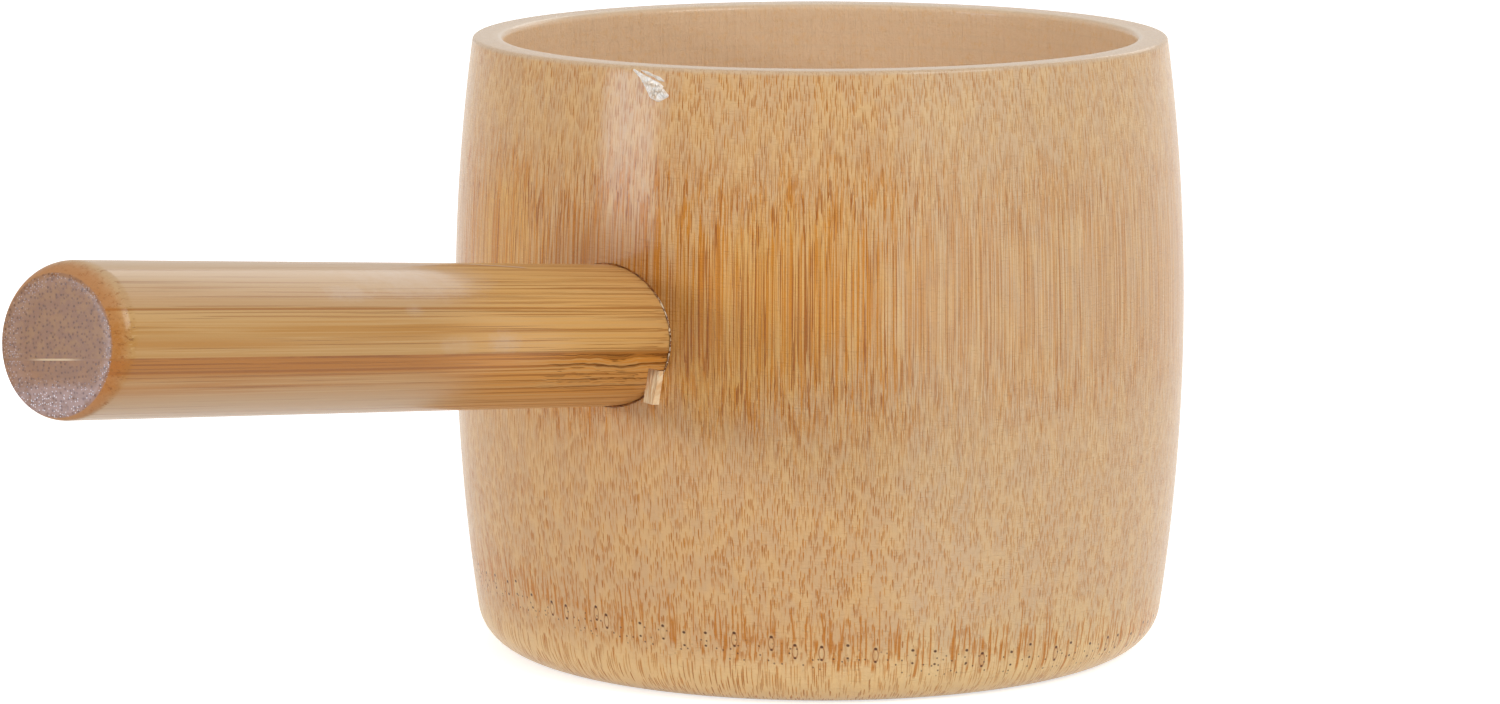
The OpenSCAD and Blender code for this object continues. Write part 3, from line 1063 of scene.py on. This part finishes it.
@dataclass
class Handle:
    """The straight handle: two plies and the glue between them, turned round together."""

    side: Barrel
    axis: HandleAxis
    inner_out: float = 41.9 * MM
    end_out: float = 171.385 * MM
    tenon_r: float = 9.9 * MM
    full_out: float = 56.87 * MM
    sanded: float = 4 * MM
    inner_bevel: float = 0.7 * MM
    glue_drop: float = 2.4 * MM
    glue_t: float = 0.25 * MM
    round_mean: float = 1.5 * MM
    round_side: float = 1.2 * MM
    round_top: float = 0.75 * MM
    end_part: float = 3 * MM
    cap_rings: int = 10
    bend_rings: int = 13
    body_rings: int = 90
    outer_steps: int = 90
    inner_steps: int = 14
    seat: tuple = SLIVER_CORNERS
    seat_out: float = 54.2 * MM
    seat_slant: float = 0.7
    seat_slack: float = 1.03
    seat_from: float = 46 * MM
    seat_to: float = 58.5 * MM

    def radius(self, out: Row) -> Row:
        """Radius along the handle: the tenon, its taper and then the full dowel."""
        share = np.clip((out - self.full_out + self.sanded) / self.sanded, 0, 1)
        return self.tenon_r + (self.axis.r - self.tenon_r) * share

    def rounding(self, turn: Row) -> Row:
        """Width of the end's rounding at an angle: widest at the right and the top, by hand sanding."""
        return self.round_mean + self.round_side * np.cos(turn) + self.round_top * np.sin(turn)

    def stations(self) -> tuple[Row, Row, Row]:
        """The rings of a ply, from the inner end's middle to the free end's middle.

        Returns:
            Distances out of the cup's axis, shares of the full outline, and how far each ring is
            round the free end's rounding, from 0 on the side to 1 on the face.
        """
        cap, bend = np.linspace(0, 1, self.cap_rings), np.linspace(0, 1, self.bend_rings)
        body = np.linspace(self.inner_out + self.inner_bevel, self.end_out - self.end_part, self.body_rings)
        bevel = 1 - self.inner_bevel / self.tenon_r
        at_end = len(bend) + len(cap) - 1
        out = np.concatenate([np.full(len(cap), self.inner_out), body, np.full(at_end, self.end_out)])
        share = np.concatenate([cap * bevel, np.ones(len(body) + len(bend)), cap[::-1][1:]])
        round_off = np.concatenate([np.zeros(len(cap) + len(body)), bend, np.ones(len(cap) - 1)])
        return out, share, round_off

    def meets(self, height: float, r: Row, shrink: Row, right: bool) -> Row:
        """Angle above level at which a ring meets a height, found by closer guesses.

        Args:
            height: Height in the handle's frame.
            r: The dowel's radius at each ring.
            shrink: How much of the rounding's width each ring has lost.
            right: Whether the right side is meant, or the left.

        Returns:
            Angles in radians.
        """
        turn = np.arcsin(np.clip(height / r, -1, 1))
        for _ in range(6):
            at = turn if right else math.pi - turn
            turn = np.arcsin(np.clip(height / (r - self.rounding(at) * shrink), -1, 1))
        return turn

    def layer(self, name: str, low: float, high: float) -> bpy.types.Object:
        """One layer of the dowel between two heights.

        Each ring follows the dowel's circle, less the rounding's width at that angle, between the
        angles where it meets the two heights, and straight chords close it.

        Args:
            name: The object's name.
            low: The layer's lower height in the handle's frame.
            high: Its upper height.

        Returns:
            The layer's object.
        """
        out, share, round_off = (v[:, None] for v in self.stations())
        r = self.radius(out)
        shrink = 1 - np.cos(round_off * math.pi / 2)
        whole_low, whole_high = low <= -self.axis.r, high >= self.axis.r
        go = np.linspace(0, 1, self.outer_steps if whole_low or whole_high else self.inner_steps)[None, :]
        turns = []
        for right in (True, False):
            start, end = (self.meets(height, r, shrink, right) for height in (low, high))
            turns.append(start + (end - start) * go)
        right, left = turns[0], math.pi - turns[1][:, ::-1]
        if whole_high:
            left = left[:, 1:]
        if whole_low:
            left = left[:, :-1]
        arcs = [(self.ring(r, turn, shrink), self.rounding(turn)) for turn in (right, left)]
        parts = [arcs[0]]
        if not whole_high:
            parts.append(self.chord(arcs[0], arcs[1]))
        parts.append(arcs[1])
        if not whole_low:
            parts.append(self.chord(arcs[1], arcs[0]))
        across, up = np.concatenate([part[0] for part in parts], axis=2)
        width = np.concatenate([part[1] for part in parts], axis=1)
        centre = (max(low, -self.axis.r) + min(high, self.axis.r)) / 2
        at_end = out >= self.end_out
        out = np.where(at_end, out - width * (1 - np.sin(round_off * math.pi / 2)), out)
        return skin(name, self.axis.place(across * share, centre + (up - centre) * share, out, rolled=True))

    def ring(self, r: Row, turn: Row, shrink: Row) -> Row:
        """Across and up of points round the dowel, less the rounding's width."""
        reach = r - self.rounding(turn) * shrink
        return np.stack([reach * np.cos(turn), reach * np.sin(turn)])

    @staticmethod
    def chord(one: tuple[Row, Row], other: tuple[Row, Row], steps: int = 60) -> tuple[Row, Row]:
        """Points on the straight line from one arc's last point to the other's first, ends left out."""
        share = np.linspace(0, 1, steps + 2)[1:-1][None, :]
        points = one[0][:, :, -1:] * (1 - share) + other[0][:, :, :1] * share
        return points, one[1][:, -1:] * (1 - share) + other[1][:, :1] * share

    def notch(self, piece: bpy.types.Object) -> None:
        """Cuts the sliver's seat, which runs out of the side as a slanted cut.

        The seat is the sliver's own section, a little wider, carried from inside the wall to the
        sliver's end, and from there out and to the right until it is clear of the dowel.
        """
        corners = np.array(self.seat) * MM
        centre = corners.mean(axis=0)
        ring = centre + (corners - centre) * self.seat_slack
        out = np.array([self.seat_from] * 2 + [self.seat_out] + [self.seat_to] * 2)[:, None]
        shift = np.clip(out - self.seat_out, 0, None) * self.seat_slant
        share = np.array([0.0, 1.0, 1.0, 1.0, 0.0])[:, None]
        across = centre[0] + (ring[None, :, 0] - centre[0]) * share + shift
        up = centre[1] + (ring[None, :, 1] - centre[1]) * share
        carve(piece, skin("seat", self.axis.place(across, up, out)))

    def make(self) -> None:
        """Builds and dresses both plies and the glue line."""
        end = self.end_out / MM
        glue_top = -self.glue_drop + self.glue_t / 2
        glue_low = -self.glue_drop - self.glue_t / 2
        upper = PlyFinish().material("upper_ply_bamboo", self.axis, end)
        lower = PlyFinish(pale=(192, 144, 88), warm=(184, 122, 50), streak_share=0.85)
        stripes = (1.0, 1.0, 0.1)
        brown = PlainFinish((176, 114, 48), (150, 92, 34), Gloss.SATIN_LACQUER, stripes, pale_from=end)
        settle(self.layer("handle_upper", glue_top, 1.0), "handle_upper_ply", upper)
        under = self.layer("handle_lower", -1.0, glue_low)
        self.notch(under)
        below = lower.material("lower_ply_bamboo", self.axis, end)
        settle(under, "handle_lower_ply", below)
        glue = self.layer("handle_glue", glue_low, glue_top)
        settle(glue, "handle_glue_line", brown.material("ply_glue", self.axis))


@dataclass
class Socket:
    """What holds the handle in the wall: the glue in the gap and the sliver driven in beside it."""

    side: Barrel
    axis: HandleAxis
    hole_r: float = 10.2 * MM
    tenon_r: float = 9.9 * MM
    sink: float = -0.08 * MM
    depth: float = 5.5 * MM
    wedge_corners: tuple = SLIVER_CORNERS
    wedge_top: float = 54.43 * MM
    wedge_tip: float = 46.6 * MM
    tip_share: float = 0.4
    edge_steps: int = 16
    cap_rings: int = 9
    body_rings: int = 26
    ring_turns: int = 540
    ring_steps: int = 20
    lump: float = 0.1 * MM
    overlap: float = 0.02 * MM

    def glue(self) -> bpy.types.Object:
        """The glue's ring: a small rounded section carried round the dowel, its outer face lumpy.

        The section is an oval between the dowel's radius and the hole's; its outer side follows
        the cup's side at the sink's depth, raised by smooth random lumps.
        """
        turn = circle(self.ring_turns)[:, None]
        part = circle(self.ring_steps)[None, :]
        bulk = np.sign(np.cos(part)) * np.abs(np.cos(part)) ** 0.5
        face = np.sign(np.sin(part)) * np.abs(np.sin(part)) ** 0.5
        middle, half = (self.hole_r + self.tenon_r) / 2, (self.hole_r - self.tenon_r) / 2 + self.overlap
        r = middle + half * bulk
        top = self.axis.leaves(self.side, middle * np.cos(turn), middle * np.sin(turn)) - self.sink
        lumps = ripple(turn * 5, bulk * 0.4 + 0 * turn, 4, 7) * self.lump
        low = top - self.depth
        out = low + (top - low) * (face + 1) / 2 + lumps * np.clip(face, 0, 1)
        rows = self.axis.place(r * np.cos(turn), r * np.sin(turn), out)
        return skin("socket_glue_ring", rows, poles=False)

    def sliver(self) -> bpy.types.Object:
        """The sliver: its four-cornered end, carried inwards and narrowed towards the tip.

        The section's outline goes round the four corners by linear steps; the cut end is a rough
        face of split fibres, raised by short random ridges along its width.
        """
        corners = np.array(self.wedge_corners) * MM
        go = np.linspace(0, 1, self.edge_steps, endpoint=False)[:, None]
        ring = np.concatenate([a + (b - a) * go for a, b in zip(corners, np.roll(corners, -1, axis=0))])
        centre = corners.mean(axis=0)
        cap, body = np.linspace(0, 1, self.cap_rings), np.linspace(0, 1, self.body_rings)
        share = np.concatenate([cap[:-1], np.ones(len(body)), cap[::-1][1:]])[:, None]
        height = np.concatenate([np.zeros(len(cap) - 1), body, np.ones(len(cap) - 1)])[:, None]
        narrow = self.tip_share + (1 - self.tip_share) * height
        across = centre[0] + (ring[None, :, 0] - centre[0]) * share * narrow
        up = centre[1] + (ring[None, :, 1] - centre[1]) * share
        fibres = ripple(across / MM * 1.6, up / MM * 0.2, 9, 6) * 0.07 * MM
        out = self.wedge_tip + (self.wedge_top - self.wedge_tip) * height
        out = out + np.where(height >= 1, fibres - 0.15 * MM, 0)
        return skin("socket_sliver", self.axis.place(across, up, out))

    def make(self) -> None:
        """Builds and dresses the glue and the sliver."""
        glue = GapGlueFinish()
        split = PlainFinish((255, 234, 196), (236, 196, 144), Gloss.BARE, (3.6, 0.5, 0.5), 0.1 * MM)
        settle(self.glue(), "socket_glue", glue.material("socket_glue", self.axis))
        settle(self.sliver(), "socket_wedge", split.material("split_bamboo", self.axis))


@dataclass
class LacquerRun:
    """A thick run of lacquer that wrinkled as it dried, under the rim above the handle."""

    side: Barrel
    name: str = "lacquer_run"
    path: tuple = ((-87.1, 90.0), (-85.6, 89.2), (-84.2, 88.2), (-83.0, 87.3), (-82.1, 86.8), (-80.6, 86.6))
    half_width: tuple = (0.12, 0.35, 0.8, 1.3, 1.15, 0.1)
    height: float = 0.42 * MM
    fold: float = 0.9
    path_steps: int = 90
    section_steps: int = 40

    def build(self) -> bpy.types.Object:
        """Carries an oval along the path on the cup's side, its top raised in wrinkles.

        The path and its half width are smooth curves through the given points. The oval's upper
        half stands on the side, its lower half lies just under it.
        """
        knots = np.linspace(0, 1, len(self.path))
        go = np.linspace(0, 1, self.path_steps)
        turn, z, half = (
            np.interp(go, knots, values) for values in (*np.array(self.path).T, np.array(self.half_width))
        )
        turn, z, half = np.radians(turn), z * MM, half * MM
        along_x, along_z = np.gradient(turn) * self.side.belly_r, np.gradient(z)
        size = np.hypot(along_x, along_z)
        part = circle(self.section_steps)[None, :]
        offset = half[:, None] * np.cos(part)
        around = turn[:, None] - offset * (along_z / size)[:, None] / self.side.belly_r
        level = z[:, None] + offset * (along_x / size)[:, None]
        folds = 1 + self.fold * ripple(go[:, None] * 9 + np.cos(part), np.cos(part) * 1.5, 11, 7)
        full = np.sqrt(np.clip(half / half.max(), 0, 1))[:, None]
        rise = np.where(
            np.sin(part) > 0,
            np.sin(part) * np.clip(folds, 0.15, 2) * full * self.height,
            np.sin(part) * 0.1 * MM,
        )
        rows = self.side.point(around, level)
        outward = np.stack([np.cos(around), np.sin(around), 0 * around], axis=-1)
        return skin(self.name, rows + outward * rise[..., None])

    def make(self) -> None:
        """Builds and dresses the run."""
        # The clear lacquer is painted near white: painted reflection of the lamps in the thick run.
        clear = PlainFinish((255, 253, 250), (240, 224, 204), Gloss.WET_LACQUER, (1.1, 1.1, 1.1), 0.22 * MM)
        settle(self.build(), "", clear.material(self.name, HandleAxis()))


@dataclass(frozen=True)
class Lamp:
    """A soft box that faces the dipper: its place in degrees and metres, its size, watts and colour.

    Shiny places mirror it if it shows, and matt ones are lit by it if it lights.
    """

    name: str
    azimuth: float
    height: float
    distance: float
    size: tuple[float, float]
    power: float
    shows: bool = True
    lights: bool = True
    tint: Colour = (1.0, 1.0, 1.0)
    aims_at: tuple = (0, -0.03, 0.05)

    def make(self) -> None:
        """Adds the lamp to the scene."""
        data = bpy.data.lights.new(self.name, "AREA")
        data.shape = "RECTANGLE"
        data.size, data.size_y = self.size
        data.energy = self.power
        data.color = self.tint
        lamp = placed(self.name, data)
        turn = math.radians(self.azimuth)
        at = Vector((self.distance * math.cos(turn), self.distance * math.sin(turn), self.height))
        lamp.location = at
        lamp.rotation_euler = (Vector(self.aims_at) - at).to_track_quat("-Z", "Y").to_euler()
        lamp.visible_camera = False
        lamp.visible_glossy = self.shows
        lamp.visible_diffuse = self.lights


@dataclass
class Studio:
    """The plain pale room: a white floor, soft lamps and the photograph's camera."""

    floor_half: float = 6.0
    floor_gap: float = 0.02 * MM
    camera_at: tuple = (0.465752, -0.704333, 0.176569)
    camera_looks: tuple = (-0.55482931, 0.81716845, -0.15620551)
    lens: float = 137.93
    world_level: float = 0.58
    floor_lift: float = 0.68
    floor_grey: float = 0.86
    lamps: tuple[Lamp, ...] = (
        Lamp("left_box", -119.0, 0.3, 3.0, (1.0, 0.56), 14.0, lights=False, tint=(0.6, 0.78, 1.0)),
        Lamp("left_key", -110.0, 0.66, 3.0, (0.5, 0.3), 19.5, shows=False),
        Lamp("right_box", -10.0, 1.8, 2.6, (1.6, 1.2), 31.0),
        Lamp("back_box", 96.0, 1.35, 2.7, (2.0, 0.9), 9.0),
    )

    def floor(self) -> None:
        """A wide white floor that keeps the shadow, lifted to white for the camera and reflections."""
        half, low = self.floor_half, -self.floor_gap
        mesh = bpy.data.meshes.new("floor")
        mesh.from_pydata(
            [(-half, -half, low), (half, -half, low), (half, half, low), (-half, half, low)],
            [],
            [(0, 1, 2, 3)],
        )
        piece = placed("floor", mesh)
        g = Graph("white_floor")
        g.shader.inputs["Base Color"].default_value = (*[self.floor_grey] * 3, 1)
        g.shader.inputs["Roughness"].default_value = 0.9
        g.shader.inputs["Specular IOR Level"].default_value = 0.0
        camera_ray = g.node("ShaderNodeLightPath", {}, "Is Camera Ray")
        seen = g.most(camera_ray, Value(g, camera_ray.others["Is Glossy Ray"]))
        g.shader.inputs["Emission Color"].default_value = (1, 1, 1, 1)
        g.put(seen * self.floor_lift, g.shader.inputs["Emission Strength"])
        mesh.materials.append(g.material)

    def world(self) -> None:
        """A white world: full white where it is seen, and plain soft light elsewhere."""
        world = bpy.data.worlds.new("white_room")
        bpy.context.scene.world = world
        world.use_nodes = True
        tree = world.node_tree
        shade = tree.nodes["Background"]
        paths = tree.nodes.new("ShaderNodeLightPath")
        seen = tree.nodes.new("ShaderNodeMath")
        seen.operation = "MAXIMUM"
        tree.links.new(paths.outputs["Is Camera Ray"], seen.inputs[0])
        tree.links.new(paths.outputs["Is Glossy Ray"], seen.inputs[1])
        level = tree.nodes.new("ShaderNodeMapRange")
        level.inputs[3].default_value = self.world_level
        level.inputs[4].default_value = 1.0
        tree.links.new(seen.outputs[0], level.inputs[0])
        tree.links.new(level.outputs[0], shade.inputs["Strength"])
        shade.inputs["Color"].default_value = (1, 1, 1, 1)

    def camera(self) -> None:
        """The camera at the photograph's place, angle and focal length."""
        data = bpy.data.cameras.new("photo_view")
        data.sensor_width = 36.0
        data.lens = self.lens
        camera = placed("photo_view", data)
        camera.location = self.camera_at
        camera.rotation_euler = Vector(self.camera_looks).to_track_quat("-Z", "Y").to_euler()
        bpy.context.scene.camera = camera

    def make(self) -> None:
        """Builds floor, world, lamps and camera."""
        bpy.context.scene.view_settings.view_transform = "Standard"
        self.floor()
        self.world()
        for lamp in self.lamps:
            lamp.make()
        self.camera()


def main() -> None:
    """Builds the room and every piece of the dipper in order."""
    logging.basicConfig(level=logging.INFO, format="%(name)s: %(message)s")
    side, axis = Barrel(), HandleAxis()
    Studio().make()
    Cup(side, axis).make()
    Handle(side, axis).make()
    Socket(side, axis).make()
    LacquerRun(side).make()
    thread = ((-85.6, 89.95), (-84.6, 89.65), (-83.4, 89.3), (-82.4, 88.95), (-81.5, 88.6))
    LacquerRun(side, "lacquer_thread", thread, (0.06, 0.2, 0.16, 0.26, 0.08), 0.2 * MM).make()


if __name__ == "__main__":
    main()
